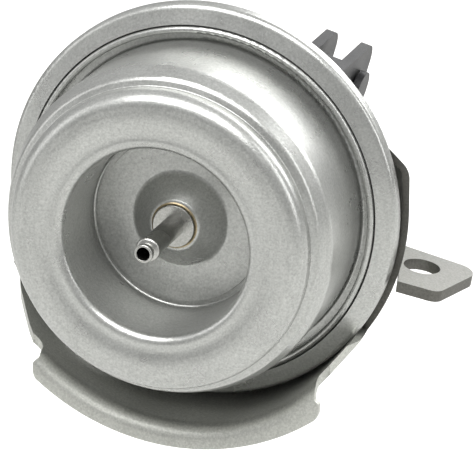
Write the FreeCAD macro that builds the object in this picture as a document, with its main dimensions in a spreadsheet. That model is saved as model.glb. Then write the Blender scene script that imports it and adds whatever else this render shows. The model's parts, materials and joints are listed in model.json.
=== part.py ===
"""Vacuum actuator of a turbocharger wastegate, as a parametric FreeCAD document.

Lengths are millimetres.  The capsule's axis is Y, the hose nipple points to -Y and the rod leaves
to +Y, Z is up.  The origin is the middle of the hose's seat on the nipple.  Inside each body the
local Y is counted from the rim plane, which is the front of the crimped rim.
"""
import FreeCAD
import Part
import math
import os
import re
import Sketcher

SIZES = [
    # alias, value, what it is
    ("rim_y", "17.95", "origin to the rim plane"),
    ("seam", "0.05", "gap left between parts that are pressed or stacked together"),
    ("rest_gap", "0.3", "gap left where a moving part rests on a seat"),
    ("running", "0.05", "radial clearance of a part that slides or turns in another"),
    # front can
    ("can_wall", "0.8", "sheet of the front can"),
    ("flange_r", "33.5", "edge of the front can's flange"),
    ("flange_y", "2.2", "front face of the flange"),
    ("dome_r", "28.7", "outside of the dome"),
    ("dome_top", "14.9", "start of the dome's shoulder"),
    ("step_r", "26.1", "bottom of the step between dome and cap"),
    ("step_y", "18.4", "height of that step"),
    ("cap_y", "22.1", "height of the cap's outer edge"),
    ("cap_bend", "2.6", "rounding of the cap's outer edge"),
    ("ridge_r", "21.4", "ridge of the cap"),
    ("ridge_y", "22.6", "height of the ridge"),
    ("valley_r", "18.8", "shallow valley inside the ridge"),
    ("mouth_r", "16.3", "mouth of the cup"),
    ("cup_r", "15.7", "foot of the cup's wall"),
    ("cup_floor", "8.1", "height of the cup's floor"),
    ("coin_r", "14.6", "inner edge of the coined groove round the floor"),
    ("coin_depth", "0.45", "depth of the coined groove"),
    ("cone_r", "8.3", "foot of the raised cone"),
    ("cone_top_r", "4.3", "top of the cone"),
    ("cone_top", "11.6", "height of the cone"),
    ("hem_in_r", "30.2", "inner edge of the hem on the flange"),
    ("hem_out_r", "31.3", "outer edge of the hem"),
    ("hem_bend", "0.5", "rounding of the hem"),
    # rear can with the crimp
    ("rear_wall", "0.85", "sheet of the rear can"),
    ("rim_r", "35", "outside of the crimped rim"),
    ("crimp_r", "31.6", "edge of the crimp"),
    ("crimp_y", "0.5", "front face of the crimp at its edge"),
    ("crimp_fall", "1.05", "fall of the crimp towards the rim"),
    ("rim_back", "4.7", "rear face of the rim"),
    ("rear_r", "26.8", "rear can at its flange"),
    ("rear_end_r", "26", "rear can at its end"),
    ("rear_end", "24", "rear face of the rear can"),
    ("rear_bend", "3.2", "rounding at the end of the rear can"),
    # nipple
    ("tube_r", "1.85", "nipple tube"),
    ("tube_bore_r", "1.15", "bore of the nipple"),
    ("tube_tip", "27.2", "tip of the nipple"),
    ("bead_r", "2.1", "retaining bead"),
    ("bead_y", "23.6", "foot of the bead"),
    ("bead_len", "1.5", "length of the bead"),
    ("tip_r", "1.6", "tip ring"),
    ("collar_r", "3.7", "collar of the nipple"),
    ("collar_len", "0.7", "thickness of the collar"),
    ("braze_leg", "0.35", "leg of the braze fillet"),
    # diaphragm and piston
    ("rubber", "0.8", "thickness of the diaphragm"),
    ("skirt_r", "22.8", "outside of the piston's skirt"),
    ("piston_wall", "1", "sheet of the piston"),
    ("piston_y", "15", "rear face of the piston at rest"),
    ("piston_open", "4", "front edge of the piston's skirt at rest"),
    ("backing_wall", "1", "sheet of the backing plate"),
    ("backing_r", "19.5", "edge of the backing plate"),
    ("foot_in_r", "16", "inner edge of the backing plate's foot"),
    ("dish_r", "10", "flat centre of the backing plate"),
    # return spring
    ("wire_r", "1.1", "spring wire"),
    ("coil_r", "20.2", "mean radius of the spring"),
    ("coil_turns", "5", "working turns of the spring"),
    # rod
    ("rod_r", "3", "rod"),
    ("spigot_r", "2.4", "riveted spigot"),
    ("collar_rod_r", "5", "shoulder of the rod"),
    ("collar_rod_len", "2", "length of the shoulder"),
    ("rivet_r", "4", "riveted head"),
    ("rivet_len", "1.3", "height of the riveted head"),
    ("washer_r", "6.5", "washer under the riveted head"),
    ("washer_t", "0.9", "thickness of that washer"),
    ("rod_end_y", "70", "end of the rod"),
    # guide bush and seal
    ("bush_r", "5.2", "guide bush"),
    ("bush_flange_r", "7.5", "flange of the bush"),
    ("bush_flange_t", "1.5", "thickness of that flange"),
    ("bush_end", "29.5", "rear end of the bush"),
    ("seal_len", "2.6", "length of the rod seal"),
    ("housing_r", "8", "seal housing"),
    ("housing_wall", "0.8", "sheet of the housing"),
    ("housing_flange_r", "11.4", "flange of the housing"),
    # bracket
    ("plate", "1.2", "sheet of the bracket"),
    ("tray_r", "36.8", "inside of the tray round the rim"),
    ("tray_bend", "36.4", "rounding of the tray's corners at the rim"),
    ("tray_flat", "0.05", "flat left between the tray's rounded corners"),
    ("notch_z", "26.3", "depth of the notches beside the lip"),
    ("tray_back_left", "34.2", "left inside of the tray at its base"),
    ("tray_back_right", "28.6", "right inside of the tray at its base"),
    ("tray_back_low", "33.6", "lower inside of the tray at its base"),
    ("tray_back_bend", "28", "rounding of the tray's corners at its base"),
    ("tray_left_top", "2", "top of the tray's left wall"),
    ("ear_top", "11", "top corner of the right ear"),
    ("ear_bend", "3", "rounding of the ear"),
    ("ear_reach", "6", "inward reach of the ear"),
    ("ear_rise", "5", "rise of the ear along its reach"),
    ("lip_start", "5.6", "height where the lip turns out"),
    ("lip_r", "40.8", "edge of the lip"),
    ("lip_y", "10.5", "height of the lip's edge"),
    ("lip_bend", "4", "rounding at the foot of the lip"),
    ("lip_angle", "88", "angle that the lip spans"),
    ("lip_corner", "1.8", "rounding of the lip's end corners"),
    ("base_top_z", "17", "top of the bracket's base plate"),
    ("base_top_half", "17", "half width of that top"),
    ("base_hole_r", "12", "hole of the base plate round the housing"),
    ("foot_bore_r", "3.3", "bolt hole of the base plate"),
    ("foot_bore_x", "-18", "place of that hole, across"),
    ("foot_bore_z", "-20", "place of that hole, up"),
    # lug
    ("lug_t", "2", "thickness of the lug"),
    ("lug_x", "36.6", "centre of the lug's hole, across"),
    ("lug_y", "12.5", "centre of the lug's hole, behind the rim plane"),
    ("lug_z", "-11.3", "top face of the lug at its hole"),
    ("lug_tilt", "10", "slope of the lug in degrees"),
    ("lug_bore_r", "3.2", "bolt hole of the lug"),
    ("lug_end", "6.4", "hole centre to the lug's end"),
    ("lug_front", "9.5", "hole centre to the lug's front edge"),
    ("lug_back", "7.3", "hole centre to the lug's rear edge"),
    ("lug_corner", "3", "rounding of the lug's corners"),
    ("weld_leg", "1.8", "leg of the weld beads"),
    # studs
    ("stud_x", "17.5", "studs from the axis"),
    ("stud_r", "2.5", "stud"),
    ("stud_len", "11", "length of the stud"),
    ("stud_hole_r", "2.8", "hole of the base plate for a stud"),
    ("stud_washer_r", "5", "washer"),
    ("stud_washer_t", "1", "thickness of the washer"),
    ("nut_flats", "8", "width across the flats of the nut"),
    ("nut_len", "4", "height of the nut"),
    # rod end
    ("lock_flats", "10", "width across the flats of the lock nut"),
    ("lock_len", "5", "height of the lock nut"),
    ("neck_r", "5", "neck of the fork"),
    ("neck_len", "5", "length of the neck"),
    ("fork_y", "64", "start of the fork's block"),
    ("fork_end", "87", "end of the fork"),
    ("fork_half_w", "4.6", "half width of the fork"),
    ("fork_half_h", "8", "half height of the fork"),
    ("fork_corner", "4.5", "rounding of the fork's end"),
    ("fork_slot", "5.2", "slot of the fork"),
    ("fork_tilt", "16", "turn of the fork about the rod, in degrees"),
    ("pin_y", "79", "place of the pivot pin"),
    ("pin_r", "2.5", "pivot pin"),
    ("pin_head_r", "4", "head of the pin"),
    ("pin_head_t", "1.4", "thickness of that head"),
    ("pin_tail", "2.6", "pin beyond the fork"),
    ("clip_r", "4.4", "retaining clip"),
    ("clip_t", "0.8", "thickness of the clip"),
]

doc = FreeCAD.newDocument("wastegate_actuator")
sheet = doc.addObject("Spreadsheet::Sheet", "Sizes")
for row, (alias, value, meaning) in enumerate(SIZES, start=1):
    sheet.set("A%d" % row, alias)
    sheet.set("B%d" % row, value)
    sheet.set("C%d" % row, meaning)
    sheet.setAlias("B%d" % row, alias)
doc.recompute()

ALIASES = re.compile(r"\b(%s)\b" % "|".join(alias for alias, _, _ in SIZES))
nodes = []


def bound(expression):
    """The expression with each alias pointing at the sheet."""
    return ALIASES.sub(r"Sizes.\1", str(expression))


def size(expression):
    """The present value of an expression in aliases."""
    return float(sheet.evalExpression(ALIASES.sub(r"\1", str(expression))))


def vector(x, y, z=0.0):
    return FreeCAD.Vector(x, y, z)


def new_body(label, tilt="0", x="0", y="0", z="0"):
    """A body at the rim plane, moved by x, y and z and turned about its Y axis."""
    body = doc.addObject("PartDesign::Body", label)
    body.Label = label
    body.Placement = FreeCAD.Placement(vector(0, 0), FreeCAD.Rotation(vector(0, 1), 0))
    body.setExpression(".Placement.Base.x", bound(x))
    body.setExpression(".Placement.Base.y", bound("rim_y + (%s)" % y))
    body.setExpression(".Placement.Base.z", bound(z))
    if tilt != "0":
        body.Placement.Rotation = FreeCAD.Rotation(vector(0, 1), size(tilt))
        body.setExpression(".Placement.Rotation.Angle", bound(tilt))
    nodes.append(body)
    return body


def new_sketch(body, name, role="XY_Plane", offset="0"):
    """A sketch on one of the body's own origin planes, lifted along the plane's normal."""
    sketch = body.newObject("Sketcher::SketchObject", body.Label + "_" + name)
    plane = [item for item in body.Origin.OriginFeatures if item.Role == role][0]
    sketch.AttachmentSupport = [(plane, "")]
    sketch.MapMode = "FlatFace"
    if offset != "0":
        sketch.setExpression(".AttachmentOffset.Base.z", bound(offset))
    return sketch


def unit(start, end):
    step = end - start
    return step / step.Length


def outline(sketch, corners):
    """A closed outline through corners (x, y) or (x, y, bend), every number bound to the sheet."""
    count = len(corners)
    spots = [vector(size(corner[0]), size(corner[1])) for corner in corners]
    bends = [size(corner[2]) if len(corner) > 2 else 0.0 for corner in corners]
    ends = []
    for index, spot in enumerate(spots):
        back = unit(spot, spots[index - 1])
        ahead = unit(spot, spots[(index + 1) % count])
        half = back.getAngle(ahead) / 2
        trim = bends[index] / math.tan(half)
        ends.append((spot + back * trim, spot + ahead * trim, back, ahead, half))
    first = sketch.GeometryCount
    for index in range(count):
        sketch.addGeometry(Part.LineSegment(ends[index][1], ends[(index + 1) % count][0]), False)
    for index, corner in enumerate(corners):
        before = first + (index - 1) % count
        after = first + index
        if bends[index] == 0.0:
            sketch.addConstraint(Sketcher.Constraint("Coincident", before, 2, after, 1))
            place, vertex = after, 1
        else:
            arrive, leave, back, ahead, half = ends[index]
            centre = spots[index] + (back + ahead).normalize() * (bends[index] / math.sin(half))
            from_centre = arrive - centre
            to_centre = leave - centre
            start = math.atan2(from_centre.y, from_centre.x)
            stop = math.atan2(to_centre.y, to_centre.x)
            left_turn = (from_centre.x * to_centre.y - from_centre.y * to_centre.x) > 0
            if not left_turn:
                start, stop = stop, start
            circle = Part.Circle(centre, vector(0, 0, 1), bends[index])
            arc = sketch.addGeometry(Part.ArcOfCircle(circle, start, stop), False)
            place = sketch.addGeometry(Part.Point(spots[index]), True)
            vertex = 1
            enter, depart = (1, 2) if left_turn else (2, 1)
            sketch.addConstraint(Sketcher.Constraint("Tangent", before, 2, arc, enter))
            sketch.addConstraint(Sketcher.Constraint("Tangent", after, 1, arc, depart))
            sketch.addConstraint(Sketcher.Constraint("PointOnObject", place, 1, before))
            sketch.addConstraint(Sketcher.Constraint("PointOnObject", place, 1, after))
            bend = sketch.addConstraint(Sketcher.Constraint("Radius", arc, bends[index]))
            sketch.setExpression("Constraints[%d]" % bend, bound(corner[2]))
        for kind, value, now in zip(("DistanceX", "DistanceY"), corner, spots[index]):
            if abs(now) < 1e-9 and str(value) == "0":
                axis = -2 if kind == "DistanceX" else -1
                sketch.addConstraint(Sketcher.Constraint("PointOnObject", place, vertex, axis))
                continue
            rule = sketch.addConstraint(Sketcher.Constraint(kind, -1, 1, place, vertex, now))
            sketch.setExpression("Constraints[%d]" % rule, bound(value))


def band(corners, wall):
    """A closed outline made of a face line and its offset to the right by the sheet's wall."""
    spots = [vector(size(corner[0]), size(corner[1])) for corner in corners]
    other = []
    for index, corner in enumerate(corners):
        steps = []
        if index > 0:
            steps.append(unit(spots[index - 1], spots[index]))
        if index < len(corners) - 1:
            steps.append(unit(spots[index], spots[index + 1]))
        rights = [vector(step.y, -step.x) for step in steps]
        total = rights[0] + rights[-1]
        mitre = total * (2 / total.dot(total))
        point = ["(%s) + %.9f * (%s)" % (corner[axis], mitre[axis], wall) for axis in (0, 1)]
        if len(corner) > 2:
            turn = steps[0].x * steps[-1].y - steps[0].y * steps[-1].x
            sign = "+" if turn > 0 else "-"
            bend = "(%s) %s (%s)" % (corner[2], sign, wall)
            if size(bend) > 0:
                point.append(bend)
        other.append(tuple(point))
    return list(corners) + other[::-1]


def ring(sketch, x, y, radius):
    """A circle in a sketch, its centre and radius bound to the sheet."""
    circle = sketch.addGeometry(Part.Circle(vector(size(x), size(y)), vector(0, 0, 1), size(radius)))
    rule = sketch.addConstraint(Sketcher.Constraint("Radius", circle, size(radius)))
    sketch.setExpression("Constraints[%d]" % rule, bound(radius))
    for kind, axis, value in (("DistanceX", -2, x), ("DistanceY", -1, y)):
        if str(value) == "0":
            sketch.addConstraint(Sketcher.Constraint("PointOnObject", circle, 3, axis))
        else:
            rule = sketch.addConstraint(Sketcher.Constraint(kind, -1, 1, circle, 3, size(value)))
            sketch.setExpression("Constraints[%d]" % rule, bound(value))


def revolve(body, name, corners, groove=False):
    """A full turn of an outline (radius, y) about the capsule's axis."""
    sketch = new_sketch(body, name)
    outline(sketch, corners)
    kind = "PartDesign::Groove" if groove else "PartDesign::Revolution"
    turned = body.newObject(kind, body.Label + "_" + name + "_turned")
    turned.Profile = sketch
    turned.ReferenceAxis = (sketch, ["V_Axis"])
    turned.Angle = 360
    sketch.Visibility = False
    return turned


def pad(body, sketch, length, midplane=False, reverse=False):
    feature = body.newObject("PartDesign::Pad", sketch.Name + "_pad")
    feature.Profile = sketch
    feature.setExpression("Length", bound(length))
    feature.Midplane = midplane
    feature.Reversed = reverse
    return feature


def pocket(body, sketch, length=None, midplane=False, reverse=False):
    """A cut of a sketch's outline, right through where no length is given."""
    feature = body.newObject("PartDesign::Pocket", sketch.Name + "_cut")
    feature.Profile = sketch
    if length is None:
        feature.Type = "ThroughAll"
    else:
        feature.setExpression("Length", bound(length))
    feature.Midplane = midplane
    feature.Reversed = reverse
    return feature


def front_can():
    """Deep-drawn can with a stepped dome and a cup that sinks the nipple."""
    body = new_body("front_can")
    face = [
        ("flange_r", "flange_y"),
        ("dome_r", "flange_y", "0.5"),
        ("dome_r", "-dome_top", "3"),
        ("(dome_r + step_r * 1.2) / 2.2 + 0.2", "-step_y + 0.5", "1.1"),
        ("step_r", "-step_y", "0.25"),
        ("step_r - 0.1", "-cap_y", "cap_bend"),
        ("ridge_r", "-ridge_y", "8"),
        ("valley_r", "-cap_y", "4"),
        ("mouth_r", "-cap_y - 0.2", "1.5"),
        ("cup_r", "-cup_floor", "0.6"),
        ("cone_r", "-cup_floor", "1"),
        ("cone_top_r", "-cone_top", "0.9"),
        ("tube_r + seam", "-cone_top"),
    ]
    revolve(body, "sheet", band(face, "can_wall"))
    hem = [
        ("hem_in_r", "flange_y + 0.1"),
        ("hem_in_r", "0", "hem_bend"),
        ("hem_out_r", "0", "hem_bend"),
        ("hem_out_r", "crimp_y + rear_wall + seam * 2"),
        ("flange_r", "flange_y"),
        ("flange_r", "flange_y + 0.1"),
    ]
    revolve(body, "hem", hem)
    coin = [
        ("coin_r", "-cup_floor - 0.1"),
        ("coin_r + 0.1", "-cup_floor + coin_depth"),
        ("cup_r - 0.15", "-cup_floor + coin_depth"),
        ("cup_r - 0.15", "-cup_floor - 0.1"),
    ]
    revolve(body, "coin", coin, groove=True)


def rear_can():
    """Rear can, whose edge is rolled over the front can's flange as the crimp."""
    body = new_body("rear_can")
    face = [
        ("crimp_r", "crimp_y"),
        ("rim_r", "crimp_y + crimp_fall", "1.2"),
        ("rim_r", "rim_back", "0.9"),
        ("rear_r", "rim_back", "1.2"),
        ("rear_end_r", "rear_end", "rear_bend"),
        ("bush_r + seam", "rear_end"),
    ]
    revolve(body, "sheet", band(face[::-1], "rear_wall"))


def nipple():
    """Turned hose nipple with a retaining bead, a collar and a through bore."""
    body = new_body("nipple")
    revolve(body, "tube", [
        ("tube_bore_r", "-cone_top + can_wall + 1"),
        ("tube_r", "-cone_top + can_wall + 1"),
        ("tube_r", "-cone_top - seam"),
        ("collar_r", "-cone_top - seam"),
        ("collar_r", "-cone_top - collar_len", "0.2"),
        ("tube_r", "-cone_top - collar_len"),
        ("tube_r", "-bead_y"),
        ("bead_r", "-bead_y - 0.2", "0.1"),
        ("bead_r", "-bead_y - bead_len", "0.5"),
        ("tip_r - 0.3", "-bead_y - bead_len - 0.3", "0.1"),
        ("tip_r - 0.3", "-tube_tip + 1.1", "0.1"),
        ("tip_r", "-tube_tip + 0.9", "0.2"),
        ("tip_r", "-tube_tip", "0.25"),
        ("tube_bore_r", "-tube_tip", "0.1"),
    ])


def braze_ring():
    """Fillet of braze metal round the collar's foot, on the top of the cone."""
    body = new_body("braze_ring")
    revolve(body, "fillet", [
        ("collar_r + seam / 5", "-cone_top - seam / 5"),
        ("collar_r + braze_leg", "-cone_top - seam / 5"),
        ("collar_r + braze_leg * 0.4", "-cone_top - braze_leg * 0.4", "braze_leg / 2"),
        ("collar_r + seam / 5", "-cone_top - braze_leg"),
    ])


def diaphragm():
    """Rolling diaphragm, clamped in the rim and between piston and backing plate."""
    body = new_body("diaphragm")
    clamp = "flange_y + can_wall + seam"
    loop_out = "(dome_r - can_wall + skirt_r) / 2 + 1.9"
    face = [
        ("flange_r - 1", clamp),
        (loop_out, clamp, "0.6"),
        (loop_out, "-2.5", "1.6"),
        ("skirt_r + seam * 2", "-2.5", "1.6"),
        ("skirt_r + seam * 2", "piston_y + seam", "1.5"),
        ("spigot_r + seam", "piston_y + seam"),
    ]
    revolve(body, "sheet", band(face, "rubber"))


def piston_cup():
    """Pressed piston that holds the spring and carries the diaphragm."""
    body = new_body("piston_cup")
    face = [
        ("skirt_r", "piston_open"),
        ("skirt_r", "piston_y", "1.5"),
        ("spigot_r + seam", "piston_y"),
    ]
    revolve(body, "sheet", band(face[::-1], "piston_wall"))


def backing_plate():
    """Dished plate behind the diaphragm, whose foot rests on the rear can."""
    body = new_body("backing_plate")
    front = "piston_y + rubber + seam * 2"
    foot = "rear_end - rear_wall - rest_gap - backing_wall"
    face = [
        ("spigot_r + seam", front),
        ("dish_r", front, "1"),
        ("foot_in_r", foot, "2"),
        ("backing_r", foot),
    ]
    revolve(body, "sheet", band(face[::-1], "backing_wall"))


def return_spring():
    """Compression spring between the front can and the piston."""
    body = new_body("return_spring")
    front = "-cap_y + can_wall + wire_r + rest_gap"
    back = "piston_y - piston_wall - wire_r - seam"
    sketch = new_sketch(body, "wire")
    ring(sketch, "coil_r", front, "wire_r")
    helix = body.newObject("PartDesign::AdditiveHelix", "spring_helix")
    helix.Profile = sketch
    helix.ReferenceAxis = (sketch, ["V_Axis"])
    helix.Mode = 2
    helix.setExpression("Height", bound("(%s) - (%s)" % (back, front)))
    helix.setExpression("Turns", bound("coil_turns"))


def rod():
    """Rod with a shoulder and a spigot that is riveted over the piston."""
    body = new_body("rod")
    rivet = "piston_y - piston_wall - seam * 2 - washer_t"
    shoulder = "piston_y + rubber + seam * 3 + backing_wall"
    revolve(body, "turned", [
        ("0", "%s - rivet_len" % rivet),
        ("rivet_r", "%s - rivet_len" % rivet, "0.8"),
        ("rivet_r", rivet),
        ("spigot_r", rivet),
        ("spigot_r", shoulder),
        ("collar_rod_r", shoulder),
        ("collar_rod_r", "%s + collar_rod_len" % shoulder, "0.5"),
        ("rod_r", "%s + collar_rod_len" % shoulder),
        ("rod_r", "rod_end_y"),
        ("0", "rod_end_y"),
    ])


def rod_washer():
    """Washer between the riveted head and the piston."""
    body = new_body("rod_washer")
    back = "piston_y - piston_wall - seam"
    revolve(body, "ring", [
        ("spigot_r + seam", "%s - washer_t" % back),
        ("washer_r", "%s - washer_t" % back),
        ("washer_r", back),
        ("spigot_r + seam", back),
    ])


def guide_bush():
    """Flanged bush that guides the rod in the rear can."""
    body = new_body("guide_bush")
    inside = "rear_end - rear_wall - seam"
    revolve(body, "turned", [
        ("rod_r + running", "%s - bush_flange_t" % inside),
        ("bush_flange_r", "%s - bush_flange_t" % inside),
        ("bush_flange_r", inside),
        ("bush_r", inside),
        ("bush_r", "bush_end"),
        ("rod_r + running", "bush_end"),
    ])


def seal_housing():
    """Pressed cap on the rear can that holds the rod seal against the bush."""
    body = new_body("seal_housing")
    back = "bush_end + seal_len + seam * 2 + housing_wall"
    foot = "rear_end + seam + housing_wall"
    face = [
        ("rod_r + 0.8", back),
        ("housing_r", back, "1.2"),
        ("housing_r", foot, "0.6"),
        ("housing_flange_r", foot),
    ]
    revolve(body, "sheet", band(face, "housing_wall"))


def rod_seal():
    """Rubber ring with a lip that wipes the rod."""
    body = new_body("rod_seal")
    front = "bush_end + seam"
    out = "housing_r - housing_wall - seam"
    revolve(body, "ring", [
        ("rod_r + running * 2", "%s + seal_len * 0.5" % front),
        ("rod_r + running * 2 + 0.9", front),
        (out, front),
        (out, "%s + seal_len" % front, "0.6"),
        ("rod_r + running * 2 + 0.9", "%s + seal_len" % front),
        ("rod_r + running * 2", "%s + seal_len * 0.8" % front),
    ])


def tray_section(sketch, left, right, low, bend):
    """Inside of the tray from its left wall round to the ear, with the sheet outside it."""
    face = [
        ("-(%s)" % left, "tray_left_top"),
        ("-(%s)" % left, "-(%s)" % low, bend),
        (right, "-(%s)" % low, bend),
        (right, "ear_top", "ear_bend"),
        ("%s - ear_reach" % right, "ear_top + ear_rise"),
    ]
    outline(sketch, band(face, "plate"))


def bracket():
    """Pressed bracket: a base plate behind the capsule, a tray round its lower half, a turned lip."""
    body = new_body("bracket")
    rim = ("tray_r", "tray_r", "tray_r", "tray_r - tray_flat")
    base = ("tray_back_left", "tray_back_right", "tray_back_low", "tray_back_bend")
    base_y = "rear_end + seam"

    front = new_sketch(body, "front", "XZ_Plane")
    tray_section(front, *rim)
    pad(body, front, "lip_y - 0.5")
    doc.recompute()

    gap = new_sketch(body, "gap", "XZ_Plane", "lip_start - 2")
    gap_half = "tray_r"
    outline(gap, [("-%s" % gap_half, "-notch_z"), ("-%s" % gap_half, "-tray_r * 2"),
                  (gap_half, "-tray_r * 2"), (gap_half, "-notch_z")])
    pocket(body, gap, "lip_y", reverse=True)
    doc.recompute()

    left = new_sketch(body, "left", "YZ_Plane")
    outline(left, [
        ("-lip_y", "-notch_z"), ("-lip_y + 2.3", "-notch_z + 1.6", "1.2"), ("2.5", "-15.5", "12"),
        ("%s - 1" % base_y, "1"), ("%s - 1" % base_y, "tray_r"), ("-lip_y", "tray_r")])
    pocket(body, left)
    right = new_sketch(body, "right", "YZ_Plane")
    outline(right, [
        ("-lip_y", "-notch_z"), ("-lip_y + 2.3", "-notch_z + 1.6", "1.2"), ("-5.4", "-15", "4"),
        ("1.2", "-9", "6"), ("2.2", "0", "8"), ("7.5", "7", "8"), ("9", "tray_r"),
        ("-lip_y", "tray_r")])

    rim_section = new_sketch(body, "rim", "XZ_Plane")
    tray_section(rim_section, *rim)
    base_section = new_sketch(body, "base", "XZ_Plane", "-(%s)" % base_y)
    tray_section(base_section, *base)
    loft = body.newObject("PartDesign::AdditiveLoft", "tray_loft")
    loft.Profile = rim_section
    loft.Sections = [base_section]
    loft.Ruled = True
    doc.recompute()
    pocket(body, right, reverse=True)
    doc.recompute()

    lip = new_sketch(body, "lip", "YZ_Plane")
    outline(lip, band([
        ("-lip_y", "-lip_r"),
        ("-lip_start", "-tray_r", "lip_bend"),
        ("-lip_start + 3.5", "-tray_r"),
    ], "plate"))
    turned = body.newObject("PartDesign::Revolution", "lip_turned")
    turned.Profile = lip
    turned.ReferenceAxis = (lip, ["H_Axis"])
    turned.Midplane = True
    turned.setExpression("Angle", bound("lip_angle"))
    doc.recompute()

    floor = new_sketch(body, "floor", "XZ_Plane", "-(%s)" % base_y)
    low_left = "-(tray_back_left + plate)"
    low = "-(tray_back_low + plate)"
    low_right = "tray_back_right + plate"
    outline(floor, [
        ("-base_top_half", "base_top_z", "8"),
        (low_left, "0", "6"),
        (low_left, low, "tray_back_bend + plate"),
        (low_right, low, "tray_back_bend + plate"),
        (low_right, "ear_top", "ear_bend + plate"),
        ("base_top_half", "base_top_z", "6"),
    ])
    pad(body, floor, "plate", reverse=True)
    doc.recompute()
    holes = new_sketch(body, "holes", "XZ_Plane", "-(%s)" % base_y)
    ring(holes, "0", "0", "base_hole_r")
    ring(holes, "foot_bore_x", "foot_bore_z", "foot_bore_r")
    ring(holes, "stud_x", "0", "stud_hole_r")
    ring(holes, "-stud_x", "0", "stud_hole_r")
    pocket(body, holes, "plate * 2")


def tray_outside(y):
    """Place of the tray's outer right face across, at the height of the lug and at a given y."""
    height = "(lug_z + (lug_x - tray_back_right - plate) * tan(lug_tilt))"
    at_rim = "sqrt((tray_r + plate) ^ 2 - %s ^ 2)" % height
    radius = "(tray_back_bend + plate)"
    drop = "(%s + tray_back_low - tray_back_bend)" % height
    at_base = "(tray_back_right - tray_back_bend + sqrt(%s ^ 2 - %s ^ 2))" % (radius, drop)
    return "(%s + (%s - %s) * (%s) / (rear_end + seam))" % (at_rim, at_base, at_rim, y)


def mounting_lug():
    """Thick lug welded to the tray's right side, with the bolt hole."""
    body = new_body("mounting_lug", "lug_tilt", "lug_x", "lug_y", "lug_z")
    shape = new_sketch(body, "plan")
    outline(shape, [
        ("%s + rest_gap * 2 - lug_x" % tray_outside("lug_y - lug_front"), "-lug_front"),
        ("lug_end", "-lug_front", "lug_corner"),
        ("lug_end", "lug_back", "lug_corner"),
        ("%s + rest_gap * 2 - lug_x" % tray_outside("lug_y + lug_back"), "lug_back"),
    ])
    pad(body, shape, "lug_t", reverse=True)
    doc.recompute()
    hole = new_sketch(body, "hole")
    ring(hole, "0", "0", "lug_bore_r")
    pocket(body, hole)


def stud_pair(label, front, sketch_maker, length):
    """A piece on each stud: one is padded to the rear and mirrored to the other side."""
    body = new_body(label)
    body.AllowCompound = True
    sketch = new_sketch(body, "face", "XZ_Plane", "-(%s)" % front)
    sketch_maker(sketch)
    solid = pad(body, sketch, length, reverse=True)
    mirror = body.newObject("PartDesign::Mirrored", label + "_pair")
    mirror.Originals = [solid]
    side = [item for item in body.Origin.OriginFeatures if item.Role == "YZ_Plane"][0]
    mirror.MirrorPlane = (side, [""])
    body.Tip = mirror


def hexagon(sketch, x, flats):
    """A hexagon with its centre at x on the sketch's first axis."""
    reach = "(%s) / sqrt(3)" % flats
    outline(sketch, [
        ("(%s) + %.9f * %s" % (x, math.cos(math.radians(turn)), reach),
         "%.9f * %s" % (math.sin(math.radians(turn)), reach))
        for turn in range(30, 390, 60)])


def studs_and_nuts():
    """Two studs on the rear can, which hold the bracket with a washer and a nut each."""
    plate_back = "rear_end + seam * 2 + plate"
    nut_front = plate_back + " + stud_washer_t + seam"

    def stud(sketch):
        ring(sketch, "stud_x", "0", "stud_r")

    def disc(sketch):
        ring(sketch, "stud_x", "0", "stud_washer_r")
        ring(sketch, "stud_x", "0", "stud_r + seam * 2")

    def nut(sketch):
        hexagon(sketch, "stud_x", "nut_flats")
        ring(sketch, "stud_x", "0", "stud_r + seam")

    stud_pair("can_studs", "rear_end", stud, "stud_len")
    stud_pair("stud_washers", plate_back, disc, "stud_washer_t")
    stud_pair("stud_nuts", nut_front, nut, "nut_len")


def lock_nut():
    """Hexagon nut that locks the fork on the rod's thread."""
    body = new_body("lock_nut")
    sketch = new_sketch(body, "face", "XZ_Plane", "-(fork_y - neck_len - seam - lock_len)")
    hexagon(sketch, "0", "lock_flats")
    ring(sketch, "0", "0", "rod_r + seam")
    pad(body, sketch, "lock_len", reverse=True)


def rod_fork():
    """Fork on the rod's end, turned about the rod, with a cross hole for the pivot pin."""
    body = new_body("rod_fork", "fork_tilt")
    side = new_sketch(body, "side", "YZ_Plane")
    outline(side, [
        ("fork_y", "-fork_half_h", "1"),
        ("fork_end", "-fork_half_h", "fork_corner"),
        ("fork_end", "fork_half_h", "fork_corner"),
        ("fork_y", "fork_half_h", "1"),
    ])
    pad(body, side, "fork_half_w * 2", midplane=True)
    neck = [
        ("0", "fork_y - neck_len"),
        ("neck_r", "fork_y - neck_len", "0.5"),
        ("neck_r", "fork_y + 0.5"),
        ("0", "fork_y + 0.5"),
    ]
    revolve(body, "neck", neck)
    doc.recompute()
    bore = [
        ("0", "fork_y - neck_len - 1"),
        ("rod_r + seam", "fork_y - neck_len - 1"),
        ("rod_r + seam", "rod_end_y + 1"),
        ("0", "rod_end_y + 1"),
    ]
    revolve(body, "bore", bore, groove=True)
    slot = new_sketch(body, "slot")
    outline(slot, [
        ("-fork_slot / 2", "rod_end_y + rest_gap"),
        ("fork_slot / 2", "rod_end_y + rest_gap"),
        ("fork_slot / 2", "fork_end + 1"),
        ("-fork_slot / 2", "fork_end + 1"),
    ])
    pocket(body, slot, "fork_half_h * 3", midplane=True)
    hole = new_sketch(body, "hole", "YZ_Plane")
    ring(hole, "pin_y", "0", "pin_r + running")
    pocket(body, hole, "fork_half_w * 4", midplane=True)


def pivot_pin():
    """Headed pin across the fork."""
    body = new_body("pivot_pin", "fork_tilt")
    shank = new_sketch(body, "shank", "YZ_Plane", "-(fork_half_w + pin_tail)")
    ring(shank, "pin_y", "0", "pin_r")
    pad(body, shank, "fork_half_w * 2 + pin_tail + rest_gap")
    head = new_sketch(body, "head", "YZ_Plane", "fork_half_w + rest_gap")
    ring(head, "pin_y", "0", "pin_head_r")
    pad(body, head, "pin_head_t")


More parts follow.
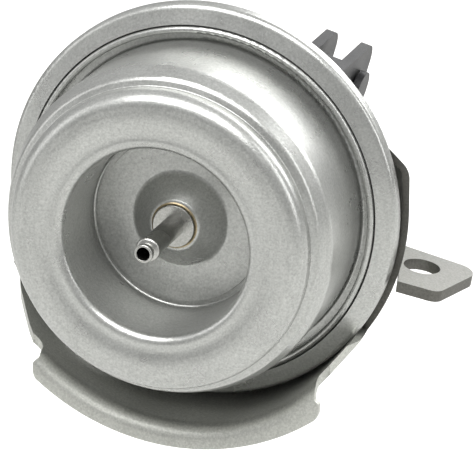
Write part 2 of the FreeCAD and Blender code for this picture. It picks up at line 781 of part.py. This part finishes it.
def pin_clip():
    """Retaining clip on the pin's tail."""
    body = new_body("pin_clip", "fork_tilt")
    face = new_sketch(body, "face", "YZ_Plane", "-(fork_half_w + rest_gap + clip_t)")
    ring(face, "pin_y", "0", "clip_r")
    ring(face, "pin_y", "0", "pin_r + seam")
    pad(body, face, "clip_t")


front_can()
rear_can()
nipple()
braze_ring()
diaphragm()
piston_cup()
backing_plate()
return_spring()
rod()
rod_washer()
guide_bush()
seal_housing()
rod_seal()
bracket()
mounting_lug()
studs_and_nuts()
lock_nut()
rod_fork()
pivot_pin()
pin_clip()
doc.recompute()

for item in doc.Objects:
    if "Invalid" in item.State or "Error" in item.State:
        raise RuntimeError("%s failed: %s" % (item.Name, item.State))

os.makedirs("parts", exist_ok=True)
for node in nodes:
    if node.Shape.isNull() or not node.Shape.isValid():
        raise RuntimeError("%s has no valid shape" % node.Label)
    node.Shape.exportStep("parts/%s.step" % node.Label)
    print("%-16s %2d solid(s) %9.1f mm3" % (node.Label, len(node.Shape.Solids), node.Shape.Volume))
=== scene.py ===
import json
import math

import bmesh
import bpy
from mathutils import Matrix, Vector


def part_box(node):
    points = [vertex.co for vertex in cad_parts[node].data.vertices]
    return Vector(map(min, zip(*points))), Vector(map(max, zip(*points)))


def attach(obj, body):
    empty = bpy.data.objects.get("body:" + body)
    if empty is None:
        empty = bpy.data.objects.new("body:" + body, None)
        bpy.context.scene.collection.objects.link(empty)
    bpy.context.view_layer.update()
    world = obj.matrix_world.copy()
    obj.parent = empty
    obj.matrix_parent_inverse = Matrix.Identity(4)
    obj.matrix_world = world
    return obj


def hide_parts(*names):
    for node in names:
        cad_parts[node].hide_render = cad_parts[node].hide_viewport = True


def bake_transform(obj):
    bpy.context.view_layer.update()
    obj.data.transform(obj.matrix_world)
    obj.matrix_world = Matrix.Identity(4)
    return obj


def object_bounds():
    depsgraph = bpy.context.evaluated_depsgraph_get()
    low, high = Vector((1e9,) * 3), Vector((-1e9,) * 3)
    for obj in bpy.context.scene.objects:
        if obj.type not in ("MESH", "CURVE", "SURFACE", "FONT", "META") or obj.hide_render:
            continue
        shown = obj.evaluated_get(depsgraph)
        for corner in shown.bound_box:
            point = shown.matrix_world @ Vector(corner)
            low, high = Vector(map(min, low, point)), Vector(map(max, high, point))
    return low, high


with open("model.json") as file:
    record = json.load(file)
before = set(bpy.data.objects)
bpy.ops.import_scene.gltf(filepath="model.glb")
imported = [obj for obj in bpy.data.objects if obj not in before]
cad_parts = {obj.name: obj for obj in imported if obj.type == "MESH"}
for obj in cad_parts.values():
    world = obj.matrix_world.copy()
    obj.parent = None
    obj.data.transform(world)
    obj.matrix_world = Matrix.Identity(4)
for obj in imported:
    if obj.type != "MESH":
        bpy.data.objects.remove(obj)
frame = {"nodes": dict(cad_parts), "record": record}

cad_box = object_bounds()


# --- Camera -----------------------------------------------------------------------------------
# A long lens looks at the capsule from the front, a little from the right and from above, so
# that the cup, the nipple and the bracket's lip all show.
MM = 0.001
BRACKET_DEPTH = 25.25    # mm from the crimped rim's plane to the back of the bracket
RIM_Y = round(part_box("bracket")[1].y - BRACKET_DEPTH * MM, 5)
LENS_TURN = math.radians(18.3)
LENS_DROP = math.radians(18.7)
LENS_DISTANCE = 0.604    # metres from the lens to the rim's centre
FRAME_WIDTH_AT_RIM = 0.08095
SIDE_STEP = 0.00687      # the camera's step to the right and down, which frames the bracket
DOWN_STEP = 0.00348

forward = Vector((
    -math.sin(LENS_TURN) * math.cos(LENS_DROP),
    math.cos(LENS_TURN) * math.cos(LENS_DROP),
    -math.sin(LENS_DROP)))
right = Vector((math.cos(LENS_TURN), math.sin(LENS_TURN), 0))
upward = right.cross(forward)
camera_data = bpy.data.cameras.new("camera")
camera_data.sensor_width = 36
camera_data.lens = camera_data.sensor_width * LENS_DISTANCE / FRAME_WIDTH_AT_RIM
camera_data.clip_end = 20
camera = bpy.data.objects.new("camera", camera_data)
bpy.context.scene.collection.objects.link(camera)
place = (Vector((0, RIM_Y, 0)) + right * SIDE_STEP - upward * DOWN_STEP
         - forward * LENS_DISTANCE)
turn = Matrix((right, upward, -forward)).transposed()
camera.matrix_world = Matrix.Translation(place) @ turn.to_4x4()
bpy.context.scene.camera = camera


# --- Floor, world and lamps -------------------------------------------------------------------
# A plain pale floor lies well below the part, which hangs from its lug as on the turbocharger.
# Four soft boxes light it: one above, a weak one at the left, a strip at the right, and a large
# one high up behind it, for the cans' upper sides.
FLOOR_DROP = 0.12
FLOOR_HALF = 4.0
FLOOR_GLOW = 0.45        # added where the camera looks straight at the floor, to make it pale
SKY_LOW = 0.28           # strength of the white sky just below the horizon
SKY_HIGH = 0.75          # and overhead


def to_linear(code):
    """An sRGB hex colour as the linear RGBA that the shaders take."""
    parts = [int(code[i:i + 2], 16) / 255 for i in (1, 3, 5)]
    return tuple(p / 12.92 if p <= 0.04045 else ((p + 0.055) / 1.055) ** 2.4 for p in parts) + (1,)


def add_node(tree, kind, inputs=None, **settings):
    """A shader node with its settings, its socket values and its links."""
    node = tree.nodes.new("ShaderNode" + kind)
    for name, value in settings.items():
        setattr(node, name, value)
    for name, value in (inputs or {}).items():
        if isinstance(value, bpy.types.NodeSocket):
            tree.links.new(value, node.inputs[name])
        else:
            node.inputs[name].default_value = value
    return node


def new_material(name):
    """An empty node material and its tree."""
    material = bpy.data.materials.new(name)
    material.use_nodes = True
    material.node_tree.nodes.clear()
    return material, material.node_tree


floor_z = cad_box[0].z - FLOOR_DROP
floor_mesh = bpy.data.meshes.new("floor")
floor_mesh.from_pydata(
    [(x * FLOOR_HALF, y * FLOOR_HALF, floor_z) for x, y in ((-1, -1), (1, -1), (1, 1), (-1, 1))],
    [], [(0, 1, 2, 3)])
floor = bpy.data.objects.new("floor", floor_mesh)
bpy.context.scene.collection.objects.link(floor)
floor_paint, tree = new_material("white_paper_floor")
rays = add_node(tree, "LightPath")
paper = add_node(tree, "BsdfDiffuse", {"Color": to_linear("#d8d8d6")})
glow = add_node(tree, "Emission", {"Color": to_linear("#ffffff"), "Strength": FLOOR_GLOW})
dark = add_node(tree, "Emission", {"Strength": 0.0})
lift = add_node(tree, "MixShader", {0: rays.outputs["Is Camera Ray"], 1: dark.outputs[0],
                                    2: glow.outputs[0]})
total = add_node(tree, "AddShader", {0: paper.outputs[0], 1: lift.outputs[0]})
add_node(tree, "OutputMaterial", {"Surface": total.outputs[0]})
floor_mesh.materials.append(floor_paint)

world = bpy.data.worlds.new("studio")
world.use_nodes = True
bpy.context.scene.world = world
tree = world.node_tree
tree.nodes.clear()
way = add_node(tree, "TexCoord")
height = add_node(tree, "SeparateXYZ", {0: way.outputs["Generated"]})
fade = add_node(tree, "MapRange", {"Value": height.outputs["Z"], "From Min": -0.2, "From Max": 0.9,
                                   "To Min": SKY_LOW, "To Max": SKY_HIGH})
sky = add_node(tree, "Background", {"Color": to_linear("#ffffff"), "Strength": fade.outputs[0]})
add_node(tree, "OutputWorld", {"Surface": sky.outputs[0]})


def soft_box(name, spot, width, height, power):
    """A rectangular area lamp that faces the middle of the capsule."""
    data = bpy.data.lights.new(name, "AREA")
    data.shape = "RECTANGLE"
    data.size = width
    data.size_y = height
    data.energy = power
    lamp = bpy.data.objects.new(name, data)
    bpy.context.scene.collection.objects.link(lamp)
    lamp.location = spot
    lamp.rotation_euler = (Vector((0, RIM_Y, 0)) - lamp.location).to_track_quat("-Z", "Y").to_euler()


soft_box("top_box", (0.0, -0.4, 0.68), width=0.8, height=0.5, power=8.5)
soft_box("left_box", (-0.8, -0.35, 0.25), width=0.4, height=0.7, power=1.2)
soft_box("right_strip", (0.75, -0.1, 0.35), width=0.2, height=0.7, power=1.6)
soft_box("back_box", (0.45, 0.9, 0.55), width=1.2, height=0.7, power=12.0)

scene = bpy.context.scene
scene.view_settings.view_transform = "Standard"


# --- Cans, piston and backing plate -----------------------------------------------------------
# Low-carbon steel sheet, deep-drawn, tumbled and plated with clear-passivated zinc. Tumbling
# leaves a satin, faintly cloudy light grey with a fine grain, and faint tool marks run round the
# axis. The passive film is matt, and takes some of the metal's reflection away.
CLOUDS_PER_MM = 0.09     # patches 11 mm wide
GRAINS_PER_MM = 2.6      # the real grain is too fine to show, so it is drawn 0.38 mm wide
RINGS_PER_MM = 1.5       # tool marks 0.67 mm apart, also coarser than the real ones
STROKES_PER_RADIAN = 3.0     # how often a tool mark begins anew on its way round
GRAIN_HEIGHT = 0.12      # mm
GRAIN_DARK = 0.8         # how far the grain darkens and lightens the colour
GRAIN_LIGHT = 1.14
MARK_SHADE = 0.1         # how far the deepest tool marks do so either way
MARK_DEPTH = 0.5         # their depth, against the grain's height
FILM_METAL = 0.78        # share of metallic reflection under the film
ROUGH_SPREAD = 0.05      # how far the clouds move the roughness either way
NOISE_SPAN = {"From Min": 0.3, "From Max": 0.7}     # most of a noise's values lie in it


def ring_coordinates(tree, place):
    """Coordinates that run round the capsule's axis, so that a noise on them draws fine rings."""
    parts = add_node(tree, "SeparateXYZ", {0: place})
    angle = add_node(tree, "Math", {0: parts.outputs["X"], 1: parts.outputs["Z"]},
                     operation="ARCTAN2")
    strokes = add_node(tree, "Math", {0: angle.outputs[0], 1: STROKES_PER_RADIAN},
                       operation="MULTIPLY")
    flat = add_node(tree, "CombineXYZ", {"X": parts.outputs["X"], "Z": parts.outputs["Z"]})
    radius = add_node(tree, "VectorMath", {0: flat.outputs[0]}, operation="LENGTH")
    far_out = add_node(tree, "Math", {0: radius.outputs["Value"], 1: RINGS_PER_MM / MM},
                       operation="MULTIPLY")
    deep = add_node(tree, "Math", {0: parts.outputs["Y"], 1: RINGS_PER_MM / MM},
                    operation="MULTIPLY")
    rings = add_node(tree, "CombineXYZ", {"X": strokes.outputs[0], "Y": far_out.outputs[0],
                                          "Z": deep.outputs[0]})
    return rings.outputs[0]


def grained_finish(name, colour, light, rough, grain, marks, metal=FILM_METAL):
    """A surface clouded between two tones, with a grain and tool marks of the given strengths."""
    material, tree = new_material(name)
    place = add_node(tree, "TexCoord").outputs["Object"]
    cloud = add_node(tree, "TexNoise", {"Vector": place, "Scale": CLOUDS_PER_MM / MM,
                                        "Detail": 4.0, "Roughness": 0.6})
    speck = add_node(tree, "TexNoise", {"Vector": place, "Scale": GRAINS_PER_MM / MM,
                                        "Detail": 2.0, "Roughness": 0.7})
    lines = add_node(tree, "TexNoise", {"Vector": ring_coordinates(tree, place), "Scale": 1.0,
                                        "Detail": 3.0, "Roughness": 0.6})
    tone = add_node(tree, "Mix", {"Factor": cloud.outputs["Fac"], "A": to_linear(colour),
                                  "B": to_linear(light)}, data_type="RGBA")
    spots = add_node(tree, "MapRange", {"Value": speck.outputs["Fac"], **NOISE_SPAN,
                                        "To Min": GRAIN_DARK, "To Max": GRAIN_LIGHT})
    bands = add_node(tree, "MapRange", {"Value": lines.outputs["Fac"], **NOISE_SPAN,
                                        "To Min": 1.0 - MARK_SHADE * marks,
                                        "To Max": 1.0 + MARK_SHADE * marks})
    shade = add_node(tree, "Math", {0: spots.outputs[0], 1: bands.outputs[0]},
                     operation="MULTIPLY")
    tint = add_node(tree, "Mix", {"Factor": 1.0, "A": tone.outputs["Result"],
                                  "B": shade.outputs[0]}, data_type="RGBA", blend_type="MULTIPLY")
    polish = add_node(tree, "MapRange", {"Value": cloud.outputs["Fac"], **NOISE_SPAN,
                                         "To Min": rough - ROUGH_SPREAD,
                                         "To Max": rough + ROUGH_SPREAD})
    grooves = add_node(tree, "Math", {0: lines.outputs["Fac"], 1: MARK_DEPTH * marks},
                       operation="MULTIPLY")
    relief = add_node(tree, "Math", {0: speck.outputs["Fac"], 1: grooves.outputs[0]},
                      operation="ADD")
    bump = add_node(tree, "Bump", {"Strength": grain, "Distance": GRAIN_HEIGHT * MM,
                                   "Height": relief.outputs[0]})
    surface = add_node(tree, "BsdfPrincipled", {
        "Base Color": tint.outputs["Result"], "Metallic": metal,
        "Roughness": polish.outputs[0], "Normal": bump.outputs[0]})
    add_node(tree, "OutputMaterial", {"Surface": surface.outputs[0]})
    return material


def dress(material, *names):
    """Gives a material to CAD nodes, which keep their shape and place."""
    for name in names:
        slots = frame["nodes"][name].data.materials
        slots.clear()
        slots.append(material)


can_zinc = grained_finish("zinc_plated_can_steel", "#a4a5a2", "#b8b9b6",
                          rough=0.3, grain=0.25, marks=0.5)
dress(can_zinc, "front_can", "rear_can", "piston_cup", "backing_plate")


# --- Bracket ----------------------------------------------------------------------------------
# One pressing of 1.2 mm steel sheet: a base plate that two nuts clamp behind the can, a tray
# round the can's lower half with a nearly flat right flank and an ear above it, and a lip
# turned out at the front edge. Its sizes are millimetres from the rim's centre.
SHEET = 1.2
BASE_DEPTH = BRACKET_DEPTH - SHEET
FLANK = math.radians(40)     # direction of the tray's flat right flank, below the right
TRAY_HALF = 36.8         # the tray's inside at the rim, to the left, to the right and below
WALL_TOP = 2             # height of the left wall before its edge is cut
EAR_BEND = 3
LIP_R = 40.8             # the lip's round edge
LIP_LEFT = 26.7          # the lip's two ends, from the middle
LIP_RIGHT = 25.1
LIP_FRONT = -9.7         # depths at which the lip's two faces would meet the tray's inside
LIP_BACK = -8.49
LIP_SLOPE = 0.8 / 6      # how far the lip leans forward for each millimetre outwards
FOLD_R = 3               # bend of the fold on the tray's inner face
STRAIGHT_FROM = 6        # a distance out at which both faces of the lip run straight
CORNER_STEPS = 32
FOLD_STEPS = 10
WALL_ROWS = 6
RUN_PARTS = 8


def rounded(points, steps=CORNER_STEPS):
    """A path whose corners are rounded by the radius that a point may give as its third value."""
    path = []
    for i, point in enumerate(points):
        here = Vector(point[:2])
        if len(point) < 3:
            path.append(here)
            continue
        before = (Vector(points[i - 1][:2]) - here).normalized()
        after = (Vector(points[(i + 1) % len(points)][:2]) - here).normalized()
        half = before.angle(after) / 2
        centre = here + (before + after).normalized() * (point[2] / math.sin(half))
        start = here + before * (point[2] / math.tan(half)) - centre
        end = here + after * (point[2] / math.tan(half)) - centre
        sweep = start.angle_signed(end)
        for k in range(steps + 1):
            path.append(centre + Matrix.Rotation(-sweep * k / steps, 2) @ start)
    return path


def solid(name, verts, faces):
    """A mesh object from points in millimetres about the rim's centre, with outward faces."""
    mesh = bpy.data.meshes.new(name)
    mesh.from_pydata([(x * MM, y * MM + RIM_Y, z * MM) for x, y, z in verts], [], faces)
    work = bmesh.new()
    work.from_mesh(mesh)
    bmesh.ops.recalc_face_normals(work, faces=work.faces)
    work.to_mesh(mesh)
    work.free()
    made = bpy.data.objects.new(name, mesh)
    bpy.context.scene.collection.objects.link(made)
    return made


def prism(name, outline, low, high, place):
    """A closed prism: an outline between two heights, put in place by place(a, b, height)."""
    count = len(outline)
    verts = [place(*point, low) for point in outline] + [place(*point, high) for point in outline]
    faces = [(i, (i + 1) % count, count + (i + 1) % count, count + i) for i in range(count)]
    return solid(name, verts, faces + [tuple(range(count)), tuple(range(count, 2 * count))])


def along_x(depth, up, across):
    """A point of a side view's outline, drawn out across."""
    return across, depth, up


def along_y(across, up, depth):
    """A point of a front view's outline, drawn out in depth."""
    return across, depth, up


def along_z(across, depth, up):
    """A point of a top view's outline, drawn out upwards."""
    return across, depth, up


def combine(target, tool, operation="DIFFERENCE"):
    """Cuts the tool out of the target, or joins the two."""
    step = target.modifiers.new("combine", "BOOLEAN")
    step.object = tool
    step.operation = operation
    step.solver = "EXACT"
    graph = bpy.context.evaluated_depsgraph_get()
    mesh = bpy.data.meshes.new_from_object(target.evaluated_get(graph))
    target.modifiers.clear()
    target.data = mesh
    bpy.data.objects.remove(tool)


def circle(across, up, radius, steps=96):
    """Points of a circle."""
    return [(across + radius * math.cos(math.tau * k / steps),
             up + radius * math.sin(math.tau * k / steps)) for k in range(steps)]


def smooth(piece, degrees=32):
    """Smooth shading, with the edges sharper than the given angle kept crisp."""
    for polygon in piece.data.polygons:
        polygon.use_smooth = True
    piece.data.set_sharp_from_angle(angle=math.radians(degrees))


def tray_corners(left, low, side, flank, bends, top, reach, rise):
    """Corners of the tray's section, from its left wall's top round to the end of the ear."""
    across = (flank - low * math.sin(FLANK)) / math.cos(FLANK)
    down = (flank - side * math.cos(FLANK)) / math.sin(FLANK)
    return [(-left, WALL_TOP), (-left, -low, bends[0]), (across, -low, bends[1]),
            (side, -down, bends[2]), (side, top, EAR_BEND), (side - reach, top + rise)]


def tray_path(**sizes):
    """The section as points, with its straight runs cut into parts."""
    corners = rounded(tray_corners(**sizes))
    path = []
    for i, (first, second) in enumerate(zip(corners, corners[1:])):
        parts = 1 if i % (CORNER_STEPS + 1) else RUN_PARTS
        path += [first.lerp(second, k / parts) for k in range(parts)]
    return path + [corners[-1]]


def fold_path(face_depth, inside, bend):
    """One face of the fold's bend, from the wall to the lip, as (depth, distance outwards)."""
    corners = [(0, inside), (face_depth - inside * LIP_SLOPE, inside, bend),
               (face_depth - STRAIGHT_FROM * LIP_SLOPE, STRAIGHT_FROM)]
    return rounded(corners, steps=FOLD_STEPS)[1:-1]


def outward(path, i):
    """The direction out of the sheet at a point of a section."""
    way = path[min(i + 1, len(path) - 1)] - path[max(i - 1, 0)]
    return Vector((way.y, -way.x)).normalized()


def slice_of_tray(rim, base, rim_out, base_out):
    """A slice through wall, fold and lip: forward on the inner face, and back on the outer."""
    points = []
    # the line outwards from the rim meets the lip's round edge at this distance
    inward = -rim.dot(rim_out)
    edge = inward + math.sqrt(inward ** 2 - rim.length_squared + LIP_R ** 2)
    for thick, face_depth in ((0.0, LIP_FRONT), (SHEET, LIP_BACK)):
        side = []
        for k in range(WALL_ROWS + 1):
            share = 1 - k / WALL_ROWS
            spot = (rim + rim_out * thick).lerp(base + base_out * thick, share)
            side.append((spot.x, BASE_DEPTH * share, spot.y))
        for depth, out in fold_path(face_depth, thick, FOLD_R - thick):
            spot = rim + rim_out * out
            side.append((spot.x, depth, spot.y))
        spot = rim + rim_out * edge
        side.append((spot.x, face_depth - edge * LIP_SLOPE, spot.y))
        points += side[::-1] if thick else side
    return points


rim_path = tray_path(left=TRAY_HALF, low=TRAY_HALF, side=TRAY_HALF, flank=35.15,
                     bends=(36.4, 31, 40), top=10, reach=6, rise=5)
base_sizes = {"left": 34.2, "low": 33.6, "side": 28.6, "flank": 34.1}
base_path = tray_path(**base_sizes, bends=(28, 19, 28), top=0, reach=1, rise=3)
slices = [slice_of_tray(rim, base, outward(rim_path, i), outward(base_path, i))
          for i, (rim, base) in enumerate(zip(rim_path, base_path))]
count = len(slices[0])
last = len(slices) - 1
faces = [(i * count + k, i * count + (k + 1) % count, (i + 1) * count + (k + 1) % count,
          (i + 1) * count + k) for i in range(last) for k in range(count)]
faces += [tuple(range(count)), tuple(range(last * count, (last + 1) * count))]
tray = solid("bracket_pressing", [point for points in slices for point in points], faces)

# free edges: the left and the right wall from the side, then the sweeps to the lip from above
FAR = 61                 # beyond the bracket on every side
AHEAD = -21              # a depth in front of it
ABOVE = 37               # a height above it
LEFT_WALL_FROM = 2.6     # depths at which the two walls begin
EAR_FROM = 6
left_edge = [(AHEAD, -15), (LEFT_WALL_FROM, -15), (BASE_DEPTH - 1, -6), (BASE_DEPTH - 1, ABOVE),
             (AHEAD, ABOVE)]
ear_edge = [(AHEAD, -21.4), (EAR_FROM, -21.4), (EAR_FROM + 0.5, ABOVE), (AHEAD, ABOVE)]
left_sweep = [
    (-FAR, AHEAD), (-LIP_LEFT - 0.4, AHEAD), (-LIP_LEFT - 0.4, -7.4), (-LIP_LEFT - 2.2, -5.6, 1.5),
    (-LIP_LEFT - 5.6, -1, 6), (-LIP_LEFT - 7.2, LEFT_WALL_FROM), (-FAR, LEFT_WALL_FROM)]
right_sweep = [
    (FAR, AHEAD), (FAR, EAR_FROM), (LIP_RIGHT + 4.3, EAR_FROM), (LIP_RIGHT + 4.1, 0, 3),
    (LIP_RIGHT + 2.4, -4.2, 3), (LIP_RIGHT + 0.4, -7), (LIP_RIGHT + 0.4, AHEAD)]
combine(tray, prism("cut", left_edge, -FAR, 0, along_x))
combine(tray, prism("cut", ear_edge, 0, FAR, along_x))
combine(tray, prism("cut", rounded(left_sweep), -FAR, FAR, along_z))
combine(tray, prism("cut", rounded(right_sweep), -FAR, FAR, along_z))


def drop(radius, across):
    """How far below the axis a circle lies at a place across."""
    return math.sqrt(radius ** 2 - across ** 2)


# the lip's ends: a notch beside the tray with a round root, and a rounded corner outside
NOTCH_IN = 0.9           # how far inside the lip's end the notch cuts
NOTCH_TOP = -22          # the height at which the cut begins
NOTCH_BACK = -7.5        # the depth at which it ends, in its round root
ROOT_R = 1.2
CORNER_R = 3
CORNER_RUN = 7           # how far in from the lip's end its corner reaches
for sign, half in ((-1, LIP_LEFT), (1, LIP_RIGHT)):
    neck = drop(TRAY_HALF + SHEET, half) + 0.6
    inner = half - CORNER_RUN
    lip_end = [
        (sign * FAR, NOTCH_TOP), (sign * (half - NOTCH_IN), NOTCH_TOP),
        (sign * (half - NOTCH_IN), -neck, 0.5), (sign * half, -neck - 0.72, 0.5),
        (sign * half, -drop(LIP_R, half) - 0.3, CORNER_R),
        (sign * inner, -drop(LIP_R, inner) - 0.3), (sign * inner, -FAR), (sign * FAR, -FAR)]
    combine(tray, prism("cut", rounded(lip_end), AHEAD, NOTCH_BACK, along_y))
    root = circle(sign * (half + 0.3), NOTCH_BACK, ROOT_R, 32)
    combine(tray, prism("cut", root, -FAR, FAR, along_z))


def mount(name):
    """The record's mount of that name."""
    return next(entry for entry in frame["record"]["mounts"] if entry["name"] == name)


# base plate: it closes the tray's section behind the can, and its shoulders slope to the top
PLATE_TOP = 17           # height of its top, and the half width there
FLANK_FOOT = 16.88       # across, where the flank rises from the bottom
FLANK_HEAD = -19.4       # and the height at which it meets the right side
SEAL_HOLE_R = 12
STUD_HOLES = 18.5        # their centres, 1 mm further out than the studs, hidden by the washers
STUD_HOLE_R = 2.75
OVERLAP = 0.01           # how far it sinks into the tray, so that the two join
CUTTER_FRONT = 20        # depths of the two ends of the holes' cutter
CUTTER_BACK = 30
left, low, side = (base_sizes[name] + SHEET for name in ("left", "low", "side"))
plate_outline = [
    (-PLATE_TOP, PLATE_TOP, 8), (-left, 0, 6), (-left, -low, 28), (FLANK_FOOT, -low, 18.5),
    (side, FLANK_HEAD, 27.5), (side, 0, 4.2), (PLATE_TOP, PLATE_TOP, 6)]
plate = prism("base", rounded(plate_outline), BASE_DEPTH - OVERLAP, BASE_DEPTH + SHEET, along_y)
foot = mount("foot_bore")
foot_hole = (foot["pos_m"][0] / MM, foot["pos_m"][2] / MM, foot["dims"]["r_mm"])
holes = ((0, 0, SEAL_HOLE_R), foot_hole, (STUD_HOLES, 0, STUD_HOLE_R), (-STUD_HOLES, 0, STUD_HOLE_R))
for hole in holes:
    combine(plate, prism("cut", circle(*hole), CUTTER_FRONT, CUTTER_BACK, along_y))
combine(tray, plate, "UNION")
smooth(tray)

# Zinc from the same bath as the cans', on sheet that wasn't drawn so far: paler and duller, with
# no tool marks. The edges that the blanking tool sheared are rough and take little zinc.
bracket_zinc = grained_finish("zinc_plated_bracket_steel", "#b4b5af", "#c6c7c1",
                              rough=0.42, grain=0.3, marks=0.0)
sheared = grained_finish("sheared_edge_steel", "#5c5b57", "#6c6b66",
                         rough=0.5, grain=0.3, marks=0.0)
tray.data.materials.append(bracket_zinc)
tray.data.materials.append(sheared)
WALLS_ABOVE = -21        # the height from which edges that face forward belong to the walls
for polygon in tray.data.polygons:
    if polygon.normal.y < -0.6 and polygon.center.z > WALLS_ABOVE * MM:
        polygon.material_index = 1
burr = tray.modifiers.new("burr", "BEVEL")
burr.width = 0.22 * MM
burr.segments = 2
burr.limit_method = "ANGLE"
burr.angle_limit = math.radians(50)
burr.material = 0
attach(tray, "capsule")
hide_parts("bracket")


# --- Seal housing -----------------------------------------------------------------------------
# A small cup behind the rear can, which holds the rod's seal. It is pressed from thin steel
# sheet and plated as the bracket is, so it has the same pale, dull zinc.
dress(bracket_zinc, "seal_housing")


# --- Bolt lug ---------------------------------------------------------------------------------
# A cut piece of 2 mm sheet, welded to the tray's right wall, which slopes down by 10 degrees and
# takes an M6 bolt. Its zinc is darker than the bracket's, and its cut edges are rough.
LUG_SHEET = 2
LUG_TILT = math.radians(10)
CLEAR = 5                # how far the hole's cutter reaches above and below the upper face
bore = mount("lug_bore")
bore_middle = (Vector(bore["pos_m"]) - Vector((0, RIM_Y, 0))) / MM
hole_top = [round(size, 2) for size in bore_middle + Vector(bore["axis"]) * LUG_SHEET / 2]


def on_lug(across, depth, height):
    """A point of the lug from the hole's centre on its upper face."""
    return (hole_top[0] + across * math.cos(LUG_TILT) + height * math.sin(LUG_TILT),
            hole_top[1] + depth,
            hole_top[2] - across * math.sin(LUG_TILT) + height * math.cos(LUG_TILT))


lug_outline = [(-1.7, -9.4), (5.6, -9.4, 2), (9.4, 5.2, 3.5), (-5.6, 7.2)]
lug = prism("bolt_lug", rounded(lug_outline), -LUG_SHEET, 0, on_lug)
combine(lug, prism("cut", circle(0, 0, bore["dims"]["r_mm"], 64), -CLEAR, CLEAR, on_lug))
smooth(lug)
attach(lug, "capsule")
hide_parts("mounting_lug")
lug_zinc = grained_finish("zinc_plated_lug_steel", "#7b7b77", "#8e8e89",
                          rough=0.5, grain=0.35, marks=0.0, metal=0.6)
lug.data.materials.append(lug_zinc)
lug.data.materials.append(sheared)
for polygon in lug.data.polygons:
    if abs(polygon.normal.z) < 0.5:
        polygon.material_index = 1


# --- Nipple, rod, studs and nuts --------------------------------------------------------------
# Bar steel, turned on a lathe or cold-headed, and plated with bright zinc. Nothing dulls it, so
# it reflects as bare metal does, in a sharper gloss than the cans, with fine turning marks.
bright_zinc = grained_finish("bright_zinc_turned_steel", "#a5a5a1", "#b4b4b0",
                             rough=0.26, grain=0.1, marks=0.6, metal=1.0)
dress(bright_zinc, "nipple", "can_studs", "stud_washers", "stud_nuts", "lock_nut",
      "rod_washer", "rod")


# --- Return spring ----------------------------------------------------------------------------
# A coil of oiled, drawn wire between the front can and the piston, smooth and dark grey.
spring = bpy.data.objects.new("spring_coil", frame["nodes"]["return_spring"].data.copy())
bpy.context.scene.collection.objects.link(spring)
oiled_wire = grained_finish("oiled_spring_wire", "#6b6c6e", "#7c7d7f",
                            rough=0.35, grain=0.1, marks=0.0, metal=1.0)
spring.data.materials.clear()
spring.data.materials.append(oiled_wire)
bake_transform(spring)
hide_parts("return_spring")


# --- Guide bush -------------------------------------------------------------------------------
# Bronze powder, pressed and sintered, soaked with oil and pushed into the rear can's end. Its
# pores and the oil make it a dull brown.
bronze = grained_finish("sintered_bronze", "#7d6240", "#8f7350",
                        rough=0.5, grain=0.3, marks=0.0, metal=1.0)
dress(bronze, "guide_bush")


# --- Braze ------------------------------------------------------------------------------------
# A fine fillet of braze metal that flowed between the nipple's collar and the cone when the two
# were heated. It set smooth, and is a little warmer in colour than the zinc.
braze = grained_finish("flowed_braze", "#a8987a", "#b5a688",
                       rough=0.3, grain=0.1, marks=0.0, metal=1.0)
dress(braze, "braze_ring")


# --- Fork and pin -----------------------------------------------------------------------------
# Forged steel, screwed on the rod and locked by its nut. The fork, its pin and its clip are given
# the same near-black grey, with a slight dull sheen.
near_black_fork_finish = grained_finish("near_black_fork_steel", "#242425", "#39393a",
                           rough=0.45, grain=0.3, marks=0.0)
dress(near_black_fork_finish, "rod_fork", "pivot_pin", "pin_clip")


# --- Diaphragm and rod seal -------------------------------------------------------------------
# Moulded rubber, near black: the diaphragm is clamped by the crimp, and the seal sits in its
# housing. Both lie inside, and keep the metal share of the plated finishes.
rubber = grained_finish("moulded_rubber", "#161616", "#1d1d1d",
                        rough=0.6, grain=0.2, marks=0.0)
dress(rubber, "diaphragm", "rod_seal")
